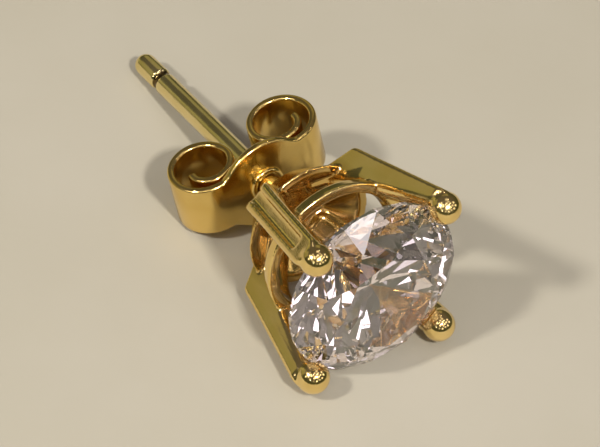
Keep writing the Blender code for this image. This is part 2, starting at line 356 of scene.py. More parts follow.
@dataclass(frozen=True)
class Placing:
    """Where the drawing's axis lies once the earring rests on its claws."""

    tilt: float = 10.849227
    along: float = -6.8956
    height: float = 3.2860

    def matrix(self) -> Matrix:
        """Returns the turn and move from the drawing, in millimetres, to the part's frame."""
        move = Matrix.Translation((0.0, self.along * MM, self.height * MM))
        return move @ Matrix.Rotation(math.radians(90.0 - self.tilt), 4, "X") @ Matrix.Scale(MM, 4)

    def lay(self, obj: Object) -> None:
        """Puts an object's mesh where it belongs in the part's frame, with the object at the origin."""
        obj.matrix_world = self.matrix() @ obj.matrix_world
        settle(obj)


@dataclass(frozen=True)
class Pattern:
    """A noise: how closely its features lie, its detail, and the range of its value that counts."""

    scale: float
    detail: float
    low: float = 0.35
    high: float = 0.65


class Nodes:
    """The node tree of a material or a room, with short ways to add and feed nodes."""

    def __init__(
        self, owner: bpy.types.Material | bpy.types.World, shader: str = "Principled BSDF"
    ) -> None:
        """Opens a node tree.

        Args:
            owner: the material or world.
            shader: the name of the node that it starts with.
        """
        owner.use_nodes = True
        self.tree = owner.node_tree
        self.shader = self.tree.nodes[shader]

    def feed(self, node: bpy.types.Node, inputs: Inputs) -> None:
        """Gives a node's sockets their values.

        Args:
            node: the node.
            inputs: for each socket the one that it is linked to, or a number, place or colour.
        """
        for key, value in inputs.items():
            if isinstance(value, Socket):
                self.tree.links.new(value, node.inputs[key])
            else:
                node.inputs[key].default_value = value

    def add(self, kind: str, inputs: Inputs, **settings: object) -> bpy.types.Node:
        """Adds a node.

        Args:
            kind: the node's type.
            inputs: what its sockets are fed with.
            settings: values for its properties.

        Returns:
            The new node.
        """
        node = self.tree.nodes.new(kind)
        for key, value in settings.items():
            setattr(node, key, value)
        self.feed(node, inputs)
        return node

    def places(self, closeness: Triple = (1.0, 1.0, 1.0)) -> Socket:
        """Gives object coordinates in millimetres, as they stand in the drawing.

        Args:
            closeness: how much closer a pattern's features lie along each axis of the drawing.

        Returns:
            The socket that a texture's Vector takes.
        """
        place, turn, size = Placing().matrix().inverted().decompose()
        source = self.add("ShaderNodeTexCoord", {}).outputs["Object"]
        drawing = {"Vector": source, "Location": place, "Rotation": turn.to_euler(), "Scale": size}
        plain = self.add("ShaderNodeMapping", drawing).outputs["Vector"]
        return self.add("ShaderNodeMapping", {"Vector": plain, "Scale": closeness}).outputs["Vector"]

    def noise(self, where: Socket, pattern: Pattern) -> Socket:
        """Adds a noise and returns its value, from about 0.3 to 0.7."""
        inputs = {"Vector": where, "Scale": pattern.scale, "Detail": pattern.detail}
        return self.add("ShaderNodeTexNoise", inputs).outputs["Fac"]

    def spread(
        self, value: Socket, source: Span, result: Span = (0.0, 1.0), curve: str = "LINEAR"
    ) -> Socket:
        """Maps a value from one range to another, and clamps it there.

        Args:
            value: the value's socket.
            source: the range that counts.
            result: the range that it becomes.
            curve: how it goes from one end to the other.

        Returns:
            The new value.
        """
        keys = ("From Min", "From Max", "To Min", "To Max")
        inputs = {"Value": value, **dict(zip(keys, (*source, *result)))}
        return self.add("ShaderNodeMapRange", inputs, interpolation_type=curve).outputs["Result"]

    def patches(self, where: Socket, pattern: Pattern, result: Span = (0.0, 1.0)) -> Socket:
        """Adds a noise and returns its value, from the lowest to the highest of a range."""
        return self.spread(self.noise(where, pattern), (pattern.low, pattern.high), result)

    def compute(self, operation: str, first: Socket, second: Socket | float = 0.0) -> Socket:
        """Returns what comes of an operation, such as ADD, on one value or two."""
        return self.add("ShaderNodeMath", {0: first, 1: second}, operation=operation).outputs["Value"]

    def mix(self, share: Socket, first: Socket | Triple, second: Triple, how: str = "MIX") -> Socket:
        """Mixes a colour into another.

        Args:
            share: how much of it shows, from 0 to 1.
            first: the colour that it goes into, or its socket.
            second: the colour that is mixed in.
            how: how the two are mixed, such as MIX or MULTIPLY.

        Returns:
            The mixed colour.
        """
        node = self.add("ShaderNodeMix", {"Factor": share}, data_type="RGBA", blend_type=how)
        below, above = [i for i, item in enumerate(node.inputs) if item.type == "RGBA"]
        base = first if isinstance(first, Socket) else (*first, 1.0)
        self.feed(node, {below: base, above: (*second, 1.0)})
        return next(item for item in node.outputs if item.type == "RGBA")

    def ring(self, where: Socket, height: float, half: float, soft: float = 0.03) -> Socket:
        """Marks a ring round the drawing's axis.

        Args:
            where: the coordinates, in millimetres.
            height: the ring's middle along the axis.
            half: half its width.
            soft: how wide its edge fades.

        Returns:
            A value of 1 inside the ring and 0 outside.
        """
        along = self.add("ShaderNodeSeparateXYZ", {"Vector": where}).outputs["Z"]
        distance = self.compute("ABSOLUTE", self.compute("SUBTRACT", along, height))
        return self.spread(distance, (half, half + soft), (1.0, 0.0))

    def core(self, where: Socket, radius: float, soft: float = 0.2) -> Socket:
        """Marks what lies near the drawing's axis.

        Args:
            where: the coordinates, in millimetres.
            radius: how far the marked part reaches.
            soft: how far its edge fades, inwards and outwards.

        Returns:
            A value of 1 near the axis and 0 outside.
        """
        level = {0: where, 1: (1.0, 1.0, 0.0)}
        flat = self.add("ShaderNodeVectorMath", level, operation="MULTIPLY").outputs["Vector"]
        reach = self.add("ShaderNodeVectorMath", {0: flat}, operation="LENGTH").outputs["Value"]
        return self.spread(reach, (radius - soft, radius + soft), (1.0, 0.0))

    def bump(self, height: Socket, strength: float, depth: float) -> None:
        """Drives the shader's normal with a height, of which 1 stands for a depth in millimetres."""
        inputs = {"Strength": strength, "Distance": depth * MM, "Height": height}
        self.feed(self.shader, {"Normal": self.add("ShaderNodeBump", inputs).outputs["Normal"]})


@dataclass(frozen=True)
class GoldFinish:
    """Polished yellow gold: colour, softness of its shine, wear and tool marks.

    Painted shade can be added: a ring painted dark at a height on the drawing's axis, for the shade in
    the post's notch, and a darker core painted within a radius of the axis, for the shade inside the
    basket, if there is one.
    """

    name: str
    bright: Triple = (0.90, 0.68, 0.29)
    deep: Triple = (0.86, 0.63, 0.23)
    roughness: float = 0.07
    smudge: float = 0.10
    scratch: float = 0.05
    line: float = 0.12
    scratch_closeness: Triple = (9.0, 9.0, 0.8)
    relief: float = 0.009
    relief_strength: float = 0.6
    notch_shade_height: float | None = None
    notch_shade_half: float = 0.11
    notch_shade_tint: Triple = (0.16, 0.13, 0.10)
    basket_shade_radius: float | None = None
    basket_shade_tint: Triple = (0.72, 0.66, 0.55)
    clouds: Pattern = Pattern(0.9, 3.0)
    smudges: Pattern = Pattern(1.7, 5.0, 0.45, 0.75)
    scratches: Pattern = Pattern(2.0, 4.0, 0.30, 0.70)
    dents: Pattern = Pattern(1.3, 2.0)
    lines: Pattern = Pattern(3.0, 3.0, 0.30, 0.70)

    def make(self) -> bpy.types.Material:
        """Mixes the finish.

        Returns:
            The material.
        """
        material = bpy.data.materials.new(self.name)
        nodes = Nodes(material)
        plain = nodes.places()
        along = nodes.places(self.scratch_closeness)
        colour = nodes.mix(nodes.patches(plain, self.clouds), self.deep, self.bright)
        if self.notch_shade_height is not None:
            # painted shade in the post's notch: a ring round the axis darkened by a fixed tint
            ring = nodes.ring(plain, self.notch_shade_height, self.notch_shade_half)
            colour = nodes.mix(ring, colour, self.notch_shade_tint, "MULTIPLY")
        if self.basket_shade_radius is not None:
            # painted shade inside the basket: the colour darkened near the drawing's axis
            core = nodes.core(plain, self.basket_shade_radius)
            colour = nodes.mix(core, colour, self.basket_shade_tint, "MULTIPLY")
        smudges = nodes.patches(plain, self.smudges, (0.0, self.smudge))
        worn = (self.roughness, self.roughness + self.scratch)
        scratches = nodes.patches(along, self.scratches, worn)
        lines = nodes.patches(along, self.lines, (0.0, self.line))
        relief = nodes.compute("ADD", nodes.noise(plain, self.dents), lines)
        roughness = nodes.compute("ADD", smudges, scratches)
        nodes.feed(nodes.shader, {"Base Color": colour, "Metallic": 1.0, "Roughness": roughness})
        nodes.bump(relief, self.relief_strength, self.relief)
        return material


@dataclass(frozen=True)
class StoneFinish:
    """Clear cut stone: how strongly it bends light and how well it is polished."""

    name: str
    bend: float = 2.30
    tint: Triple = (1.0, 0.91, 0.94)
    warm: Triple = (1.0, 0.88, 0.91)
    haze: float = 0.002
    relief: float = 0.0015
    relief_strength: float = 0.05
    clouds: Pattern = Pattern(0.5, 1.0)
    hazes: Pattern = Pattern(1.1, 3.0, 0.60, 0.75)
    waves: Pattern = Pattern(0.8, 0.0)

    def make(self) -> bpy.types.Material:
        """Mixes the finish.

        Returns:
            The material.
        """
        material = bpy.data.materials.new(self.name)
        nodes = Nodes(material)
        plain = nodes.places()
        tint = nodes.mix(nodes.patches(plain, self.clouds), self.tint, self.warm)
        haze = nodes.patches(plain, self.hazes, (0.0, self.haze))
        nodes.feed(nodes.shader, {"IOR": self.bend, "Transmission Weight": 1.0})
        nodes.feed(nodes.shader, {"Base Color": tint, "Roughness": haze})
        nodes.bump(nodes.noise(plain, self.waves), self.relief_strength, self.relief)
        return material


@dataclass(frozen=True)
class FloorFinish:
    """A pale, smooth table top."""

    name: str
    light: Triple = (0.394, 0.366, 0.296)
    dark: Triple = (0.380, 0.352, 0.279)
    roughness: Span = (0.55, 0.70)
    relief: float = 0.02
    relief_strength: float = 0.20
    clouds: Pattern = Pattern(0.12, 4.0)
    wear: Pattern = Pattern(0.3, 3.0, 0.3, 0.7)
    grain: Pattern = Pattern(2.0, 1.0)

    def make(self) -> bpy.types.Material:
        """Mixes the finish.

        Returns:
            The material.
        """
        material = bpy.data.materials.new(self.name)
        nodes = Nodes(material)
        plain = nodes.places()
        colour = nodes.mix(nodes.patches(plain, self.clouds), self.dark, self.light)
        wear = nodes.patches(plain, self.wear, self.roughness)
        nodes.feed(nodes.shader, {"Base Color": colour, "Roughness": wear})
        nodes.bump(nodes.noise(plain, self.grain), self.relief_strength, self.relief)
        return material


@dataclass(frozen=True)
class Cut:
    """The stone's proportions that its seat follows."""

    radius: float = 3.25
    table_share: float = 0.57
    crown_angle: float = 34.5
    star_angle: float = 22.0
    star_share: float = 0.5
    pavilion_angle: float = 40.8
    lower_half_share: float = 0.78
    girdle_half: float = 0.10
    girdle_depth: float = 0.40
    culet_radius: float = 0.06

    def seat(self, gap: float) -> Profile:
        """Gives the profile of the room that the stone takes.

        Args:
            gap: the clearance all round.

        Returns:
            (radius, z) points from the table's middle to the culet.
        """
        flat = math.cos(math.radians(22.5))  # how far out an eight-sided outline's sides lie
        table_radius = self.table_share * self.radius
        crown = math.tan(math.radians(self.crown_angle))
        table = self.girdle_half + (self.radius - table_radius) * crown
        edge = table_radius * flat
        star_radius = edge + self.star_share * (self.radius - edge)
        star = table - (star_radius - edge) * math.tan(math.radians(self.star_angle))
        slope = math.tan(math.radians(self.pavilion_angle))
        half_radius = (1.0 - self.lower_half_share) * self.radius
        half = -self.girdle_half - (self.radius - half_radius * flat) * slope
        culet = -self.girdle_half - (self.radius - self.culet_radius) * slope
        points = [
            (0.0, table + gap),
            (table_radius + gap, table + gap),
            (star_radius + gap, star + gap),
            (self.radius + gap, self.girdle_half + gap),
            (self.radius + gap, -self.girdle_half - gap),
            (half_radius + gap, half - gap),
            (0.0, culet - gap),
        ]
        return [(radius, z - self.girdle_depth) for radius, z in points]


@dataclass
class Head:
    """The cast head of the setting: four grooved claws with rounded tips, the gallery ring and the cup.

    Depths are counted down the axis from the middles of the claws' rounded tips.
    """

    cut: Cut
    finish: GoldFinish
    placing: Placing
    claw_count: int = 4
    first_claw: float = math.radians(45.0)
    ball_radius: float = 0.57
    ball_centre: float = 3.59
    ball_sides: int = 48
    claw_width: float = 1.12
    claw_outer: float = 4.15
    claw_tip_thickness: float = 0.85
    claw_bend_thickness: float = 1.25
    claw_bend_depth: float = 3.40
    shoulder_radius: float = 3.09
    shoulder_inner: float = 1.45
    shoulder_droop: float = 0.05
    shoulder_depth: float = 4.30
    foot_radius: float = 1.93
    foot_inner: float = 0.95
    foot_depth: float = 4.78
    root_inset: float = 0.10
    claw_sharpness: float = 50.0
    claw_edge: float = 0.12
    claw_back_edge: float = 0.34
    claw_edge_steps: int = 6
    crown_inset: float = 0.42
    crown_outer: float = 0.94
    crown_inner: float = 0.80
    tip_round: float = 0.40
    tip_steps: int = 8
    tip_side_share: float = 0.6
    groove_width: float = 0.64
    groove_floor: float = 0.72
    groove_floor_length: float = 0.97
    groove_depth: float = 0.16
    groove_from_tip: float = 0.75
    groove_past_shoulder: float = 0.90
    groove_floor_round: float = 0.07
    groove_end_round: float = 0.12
    groove_steps: int = 5
    base_radius: float = 1.45
    base_depth: float = 5.45
    base_thickness: float = 0.42
    rim_radius: float = 2.40
    rim_depth: float = 4.20
    cup_wall: float = 0.36
    gallery_depth: float = 2.75
    gallery_height: float = 0.50
    gallery_wall: float = 0.42
    gallery_inset: float = 0.80
    turned_edge: float = 0.09
    turned_edge_steps: int = 4
    turned_sharpness: float = 35.0
    seat_gap: float = 0.04
    grain: float = 0.048
    melt: float = 0.5
    melt_rounds: int = 4

    def outer_at(self, depth: float) -> float:
        """Returns the radius of a claw's outer face at a depth."""
        return self.claw_outer + (self.shoulder_radius - self.claw_outer) * depth / self.shoulder_depth

    def is_outer(self, place: Vector) -> bool:
        """Tells whether a point of the claw's bar lies on the outer side of its crest."""
        crest = self.outer_at(-place.z) - self.crown_inset
        return place.x > (self.base_radius if -place.z > self.shoulder_depth else crest)

    def from_crest(self, place: Vector) -> float:
        """Returns how far out a point lies from the crest of a claw's side, or 0 below the bend."""
        below = place.z < -self.claw_bend_depth - MERGE
        return 0.0 if below else place.x - self.outer_at(-place.z) + self.crown_inset

    def crown_sides(self, bar: Object) -> None:
        """Draws the bar's long corners in as far as the bend, so that its sides are crowned a little.

        Args:
            bar: the bar, open in edit mode, with its stations set out.
        """
        slope = (self.claw_outer - self.shoulder_radius) / self.shoulder_depth
        slice_across((self.claw_outer - self.crown_inset, 0.0, 0.0), (1.0, 0.0, -slope))
        for outer, share in ((True, self.crown_outer), (False, self.crown_inner)):
            pick(
                bar,
                Pick.VERTS,
                lambda co, _, o=outer: self.is_outer(co) is o and abs(self.from_crest(co)) > MERGE,
            )
            stretch((1.0, share, 1.0))

    def stations(self) -> list[tuple[float, float, float, float]]:
        """Lists the places where a claw's bar changes its section, from its tip to its root.

        Returns:
            For each (height, inner radius, how much lower the inner side is, outer radius).
        """
        bend = self.outer_at(self.claw_bend_depth)
        root = self.base_depth - 0.5 * self.base_thickness
        return [
            (0.0, self.claw_outer - self.claw_tip_thickness, 0.0, self.claw_outer),
            (-self.claw_bend_depth, bend - self.claw_bend_thickness, 0.0, bend),
            (-self.shoulder_depth, self.shoulder_inner, self.shoulder_droop, self.shoulder_radius),
            (-self.foot_depth, self.foot_inner, 0.0, self.foot_radius),
            (-root, 0.5 * self.base_radius, 0.0, self.base_radius - self.root_inset),
        ]

    def claw_bar(self) -> Object:
        """Shapes a claw's bar from a block, by cutting it across and setting out each station.

        Returns:
            The bar, lying along +X, with rounded edges.
        """
        stations = self.stations()
        root = stations[-1][0]
        bpy.ops.mesh.primitive_cube_add(size=1.0, location=(0.5, 0.0, 0.5 * root))
        bar = named("claw_bar", (1.0, self.claw_width, -root))
        tip_side = self.tip_side_share * 0.5 * self.claw_width
        with editing(bar):
            for height, *_ in stations[1:-1]:
                slice_across((0.0, 0.0, height), (0.0, 0.0, 1.0))
            for height, inner, droop, outer in stations:
                for side, place, drop in ((0.0, inner, droop), (1.0, outer, 0.0)):
                    pick(
                        bar,
                        Pick.VERTS,
                        lambda co, _, s=side, h=height: near(co.x, s) and near(co.z, h),
                    )
                    shift((place - side, 0.0, -drop))
            self.crown_sides(bar)
            pick(bar, Pick.EDGES, lambda at, _: abs(at.y) > tip_side and near(at.z, 0.0))
            bevel(self.tip_round, self.tip_steps)
            for outer, width in ((True, self.claw_edge), (False, self.claw_back_edge)):
                mark_all("DESELECT")
                bpy.ops.mesh.edges_select_sharp(sharpness=math.radians(self.claw_sharpness))
                pick(bar, Pick.EDGES, lambda at, _, o=outer: self.is_outer(at) is o, chosen_only=True)
                bevel(width, self.claw_edge_steps)
        return bar

    def groove_tool(self) -> Object:
        """Makes the block that cuts the channel down a claw's outer face.

        Returns:
            The block, in its place on the claw that lies along +X.
        """
        top = Vector((self.claw_outer, 0.0, 0.0))
        low = Vector((self.shoulder_radius, 0.0, -self.shoulder_depth))
        along = (low - top).normalized()
        out = Vector((-along.z, 0.0, along.x))
        start = top + along * self.groove_from_tip
        end = low + along * self.groove_past_shoulder
        half = 0.5
        flat, lean = 0.1, 0.3  # an edge from floor to mouth points less than this along z and y
        bpy.ops.mesh.primitive_cube_add(size=2.0 * half)
        block = named("groove_block", (1.0, self.groove_width, (end - start).length))
        with editing(block):
            pick(block, Pick.VERTS, lambda co, _: co.x < 0.0)
            stretch((1.0, self.groove_floor, self.groove_floor_length))
            pick(block, Pick.EDGES, lambda at, _: near(at.x, -half))
            bevel(self.groove_floor_round, self.groove_steps)
            pick(block, Pick.EDGES, lambda _, way: abs(way.z) < flat and abs(way.y) < lean)
            bevel(self.groove_end_round, self.groove_steps)
        block.rotation_euler = (0.0, math.atan2(-along.x, -along.z), 0.0)
        block.location = (start + end) / 2.0 + out * (half - self.groove_depth)
        settle(block)
        return block

    def cut_seat(self, obj: Object) -> None:
        """Cuts a piece away where the stone sits."""
        fuse(obj, lathe("seat_tool", self.cut.seat(self.seat_gap)), Fuse.CUT)

    def claw(self) -> Object:
        """Makes one claw: a grooved bar with a rounded tip, cut away where the stone sits.

        Returns:
            The claw, lying along +X.
        """
        bar = self.claw_bar()
        fuse(bar, self.groove_tool(), Fuse.CUT)
        bpy.ops.mesh.primitive_uv_sphere_add(
            segments=self.ball_sides,
            ring_count=self.ball_sides // 2,
            radius=self.ball_radius,
            location=(self.ball_centre, 0.0, 0.0),
        )
        fuse(bar, named("claw_tip"), Fuse.JOIN)
        self.cut_seat(bar)
        return bar

    def turned(self, name: str, profile: Profile, closed: bool = False) -> Object:
        """Turns a part of the head and rounds its edges.

        Args:
            name: the part's name.
            profile: its (radius, z) points.
            closed: True makes a ring.

        Returns:
            The turned part.
        """
        part = lathe(name, profile, closed=closed)
        roll_edges(part, self.turned_edge, self.turned_edge_steps, self.turned_sharpness)
        return part

    def cup(self) -> Object:
        """Turns the cup that the claws stand in.

        Returns:
            The cup, with its inside.
        """
        floor = self.base_depth - self.base_thickness
        profile = [
            (0.0, -floor),
            (self.base_radius - self.base_thickness, -floor),
            (self.rim_radius - self.cup_wall, -self.rim_depth),
            (self.rim_radius, -self.rim_depth),
            (self.base_radius, -self.base_depth),
            (0.0, -self.base_depth),
        ]
        return self.turned("cup", profile)

    def gallery(self) -> Object:
        """Turns the ring that ties the claws together.

        Returns:
            The ring, cut away where the stone sits.
        """
        top = self.gallery_depth - 0.5 * self.gallery_height
        low = self.gallery_depth + 0.5 * self.gallery_height
        outer_top = self.outer_at(top) - self.gallery_inset
        outer_low = self.outer_at(low) - self.gallery_inset
        profile = [
            (outer_top, -top),
            (outer_low, -low),
            (outer_low - self.gallery_wall, -low),
            (outer_top - self.gallery_wall, -top),
        ]
        ring = self.turned("gallery", profile, closed=True)
        self.cut_seat(ring)
        return ring

    def build(self) -> Object:
        """Builds the whole head and melts its parts together, as one casting.

        Returns:
            The finished piece.
        """
        claws = turned_copies(self.claw(), self.claw_count, self.first_claw)
        head = joined([self.cup(), self.gallery(), *claws], "setting_head")
        apply(head, "REMESH", mode="VOXEL", voxel_size=self.grain, adaptivity=0.0)
        apply(head, "SMOOTH", factor=self.melt, iterations=self.melt_rounds)
        with editing(head):
            face_outwards()
        bpy.ops.object.shade_smooth()
        self.placing.lay(head)
        return dress(head, self.finish.make(), Body.STUD, ["setting"])


@dataclass
class Post:
    """The post, with its solder fillet, notch and rounded tip."""

    finish: GoldFinish
    placing: Placing
    radius: float = 0.40
    length: float = 9.65
    base_depth: float = 5.45
    root: float = 0.20
    collar_radius: float = 0.68
    collar_height: float = 0.22
    collar_steps: int = 8
    notch_from_tip: float = 1.50
    notch_width: float = 0.34
    notch_floor_share: float = 0.44
    notch_depth: float = 0.10
    tip_steps: int = 12
    edge: float = 0.035
    edge_steps: int = 3
    sharpness: float = 25.0
    sides: int = 64

    def fillet(self) -> Profile:
        """Draws the hollow curve of the solder, from the cup's base to the post.

        Returns:
            Its (radius, z) points.
        """
        reach = self.collar_radius - self.radius
        turns = [math.radians(90.0 * i / self.collar_steps) for i in range(self.collar_steps + 1)]
        return [
            (
                self.collar_radius - reach * math.sin(turn),
                -(self.base_depth + self.collar_height * (1.0 - math.cos(turn))),
            )
            for turn in turns
        ]

    def notch(self, middle: float) -> Profile:
        """Draws the notch with its sloped walls.

        Args:
            middle: how deep its middle lies.

        Returns:
            Its (radius, z) points.
        """
        mouth = 0.5 * self.notch_width
        floor = mouth * self.notch_floor_share
        neck = self.radius - self.notch_depth
        return [
            (self.radius, -(middle - mouth)),
            (neck, -(middle - floor)),
            (neck, -(middle + floor)),
            (self.radius, -(middle + mouth)),
        ]

    def build(self) -> Object:
        """Builds the post from the cup's base to its tip.

        Returns:
            The finished piece.
        """
        tip = self.base_depth + self.length
        root = self.base_depth - self.root
        profile = [
            (0.0, -root),
            (self.collar_radius, -root),
            *self.fillet(),
            *self.notch(tip - self.notch_from_tip),
            *arc(self.radius, (0.0, self.radius - tip), 0.0, -90.0, self.tip_steps)[:-1],
            (0.0, -tip),
        ]
        post = lathe("post", profile, self.sides)
        roll_edges(post, self.edge, self.edge_steps, self.sharpness)
        bpy.ops.object.shade_smooth_by_angle(angle=SMOOTH_ANGLE)
        self.placing.lay(post)
        return dress(post, self.finish.make(), Body.STUD, ["setting"])


@dataclass
class Stone:
    """The brilliant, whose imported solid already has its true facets."""

    finish: StoneFinish

    def build(self) -> Object:
        """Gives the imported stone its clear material.

        Returns:
            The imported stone.
        """
        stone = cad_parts["stone"]
        stone.data.materials.clear()
        stone.data.materials.append(self.finish.make())
        LOG.info("stone: %d faces, packed solid", len(stone.data.polygons))
        return stone


@dataclass
class ButterflyBack:
    """The push-on back: a round plate with a rimmed hole and two arms curled back against the post.

    Its drawing has the plate's outer face at height 0, and plate_depth is where that goes on the post.
    """

    finish: GoldFinish
    placing: Placing
    plate_depth: float = 6.85
    turn: float = math.radians(13.0)
    strip: float = 0.26
    plate_radius: float = 1.75
    plate_blend: float = 0.25
    lobe_width: float = 2.10
    lobe_radius: float = 1.28
    grip_radius: float = 1.18
    grip_turn: float = 1.5 * math.pi
    lobe_end_radius: float = 0.60
    lobe_turns: float = 1.25
    post_radius: float = 0.40
    clearance: float = 0.03
    rim_width: float = 0.22
    rim_height: float = 0.14
    rim_round: float = 0.11
    mouth_round: float = 0.07
    round_steps: int = 6
    drill_top: float = 0.5
    drill_low: float = -0.9
    hole_sides: int = 64
    edge_round: float = 0.09
    edge_steps: int = 4
    edge_sharpness: float = 50.0
    curl_step: float = math.radians(6.0)
    flat_steps: int = 24

    def lobe_offset(self) -> float:
        """Returns how far from the post each lobe is centred."""
        return self.grip_radius + self.post_radius + self.clearance

    def curl(self, turn: float) -> float:
        """Works out how a lobe winds in.

        Args:
            turn: how far the arm has curled, in radians.

        Returns:
            The lobe's outside radius there.
        """
        if turn <= self.grip_turn:
            return self.lobe_radius + (self.grip_radius - self.lobe_radius) * turn / self.grip_turn
        share = (turn - self.grip_turn) / (math.tau * self.lobe_turns - self.grip_turn)
        return self.grip_radius + (self.lobe_end_radius - self.grip_radius) * share

    def half_width(self, distance: float) -> float:
        """Blends the round plate into the arm.

        Args:
            distance: how far from the post's axis, along the strip.

        Returns:
            Half the strip's width there.
        """
        arm = 0.5 * self.lobe_width
        plate = math.sqrt(max(self.plate_radius**2 - distance**2, 0.0))
        blend = self.plate_blend
        if plate > arm + blend:
            return plate
        share = min(max((plate - arm + blend) / (2.0 * blend), 0.0), 1.0)
        return arm + blend * share * share

    def route(self) -> list[Triple]:
        """Draws half the strip's outer face, from the post outwards.

        Returns:
            Its points as (x, z, half width).
        """
        offset = self.lobe_offset()
        end = math.tau * self.lobe_turns
        steps = math.ceil(end / self.curl_step)
        flat = [offset * i / self.flat_steps for i in range(self.flat_steps)]
        line = [(x, 0.0, self.half_width(x)) for x in flat]
        for i in range(steps + 1):
            turn = end * i / steps
            radius = self.curl(turn)
            x = offset + radius * math.sin(turn)
            z = radius * math.cos(turn) - self.lobe_radius
            line.append((x, z, self.half_width(offset + self.lobe_radius * turn)))
        return line

    def strip_shell(self) -> Object:
        """Draws the bent strip by extruding its end edge step by step, both ways from the middle.

        Returns:
            The open shell, with no thickness.
        """
        line = self.route()
        bpy.ops.mesh.primitive_plane_add(size=2.0, location=(1.0, 0.0, 0.0))
        shell = named("butterfly_strip")
        with editing(shell):
            pick(shell, Pick.VERTS, lambda co, _: co.x > 1.0)
            bpy.ops.mesh.delete(type="VERT")
            mark_all()
            stretch((1.0, line[0][2], 1.0))
            for side in (1.0, -1.0):
                pick(shell, Pick.VERTS, lambda co, _: near(co.x, 0.0))
                for (last_x, last_z, last_reach), (x, z, reach) in zip(line, line[1:]):
                    draw_out((side * (x - last_x), 0.0, z - last_z))
                    stretch((1.0, reach / last_reach, 1.0), (side * x, 0.0, z))
            face_outwards()
        return shell

    def rim(self) -> Object:
        """Turns the raised rim round the hole.

        Returns:
            The rim, still without its hole.
        """
        edge = self.post_radius + self.clearance + self.rim_width
        middle = (edge - self.rim_round, self.rim_height - self.rim_round)
        corner = arc(self.rim_round, middle, 90.0, 0.0, self.round_steps)
        low = -0.5 * self.strip
        profile = [(0.0, self.rim_height), *corner, (edge, low), (0.0, low)]
        return lathe("rim", profile, self.hole_sides)

    def drill(self) -> Object:
        """Turns the tool that punches the hole, with a rounded mouth.

        Returns:
            The tool.
        """
        bore = self.post_radius + self.clearance
        wide = bore + self.mouth_round
        middle = (wide, self.rim_height - self.mouth_round)
        mouth = arc(self.mouth_round, middle, 90.0, 180.0, self.round_steps)
        top, low = self.drill_top, self.drill_low
        profile = [(0.0, top), (wide, top), *mouth, (bore, low), (0.0, low)]
        return lathe("drill", profile, self.hole_sides)

    def build(self) -> Object:
        """Builds the back: strip, rolled edges, punched hole and its rim.

        Returns:
            The finished piece.
        """
        back = self.strip_shell()
        face_up(back)
        apply(back, "SOLIDIFY", thickness=self.strip, offset=-1.0, use_even_offset=True)
        roll_edges(back, self.edge_round, self.edge_steps, self.edge_sharpness, clamp=False)
        fuse(back, self.rim(), Fuse.JOIN)
        fuse(back, self.drill(), Fuse.CUT)
        with editing(back):
            face_outwards()
        back.location = (0.0, 0.0, -self.plate_depth)
        back.rotation_euler = (0.0, 0.0, self.turn)
        settle(back)
        bpy.ops.object.shade_smooth_by_angle(angle=SMOOTH_ANGLE)
        self.placing.lay(back)
        return dress(back, self.finish.make(), Body.BACK, ["butterfly_back"])


def face_up(obj: Object) -> None:
    """Flips an open shell if its face nearest the axis points down.

    Args:
        obj: the shell.
    """
    nearest = min(obj.data.polygons, key=lambda face: face.center.xy.length)
    if nearest.normal.z < 0.0:
        with editing(obj):
            mark_all()
            bpy.ops.mesh.flip_normals()


def dress(
    obj: Object, material: bpy.types.Material, body: Body, nodes: Sequence[str]
) -> Object:
    """Gives a piece its material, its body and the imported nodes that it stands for.

    Args:
        obj: the finished piece, in the part's frame.
        material: its finish.
        body: the body that it rides on.
        nodes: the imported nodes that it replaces.

    Returns:
        The same object.
    """
    obj.data.materials.clear()
    obj.data.materials.append(material)
    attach(obj, body.value)
    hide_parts(*nodes)
    LOG.info("%s: %d faces, on %s", obj.name, len(obj.data.polygons), body.value)
    return obj


@dataclass(frozen=True)
class Lamp:
    """A square soft light that looks at the earring.

    It stands at a bearing, in degrees from -Y towards +X, and a height over the table, in degrees. Its
    size is its side in millimetres, and its glow is in watts for each square metre and steradian.
    """

    name: str
    bearing: float
    height: float
    size: float
    glow: float
    colour: Triple
    distance: float = 300.0
    aim_height: float = 3.0

    def hang(self) -> None:
        """Adds the light to the scene."""
        level = math.cos(math.radians(self.height))
        climb = math.sin(math.radians(self.height))
        turn = math.radians(self.bearing)
        way = Vector((math.sin(turn) * level, -math.cos(turn) * level, climb))
        bpy.ops.object.light_add(type="AREA")
        lamp = bpy.context.active_object
        lamp.name = self.name
        lamp.data.size = self.size * MM
        lamp.data.energy = self.glow * math.pi * (self.size * MM) ** 2
        lamp.data.color = self.colour
        lamp.location = (way * self.distance + Vector((0.0, 0.0, self.aim_height))) * MM
        lamp.rotation_mode = "QUATERNION"
        lamp.rotation_quaternion = way.to_track_quat("Z", "Y")


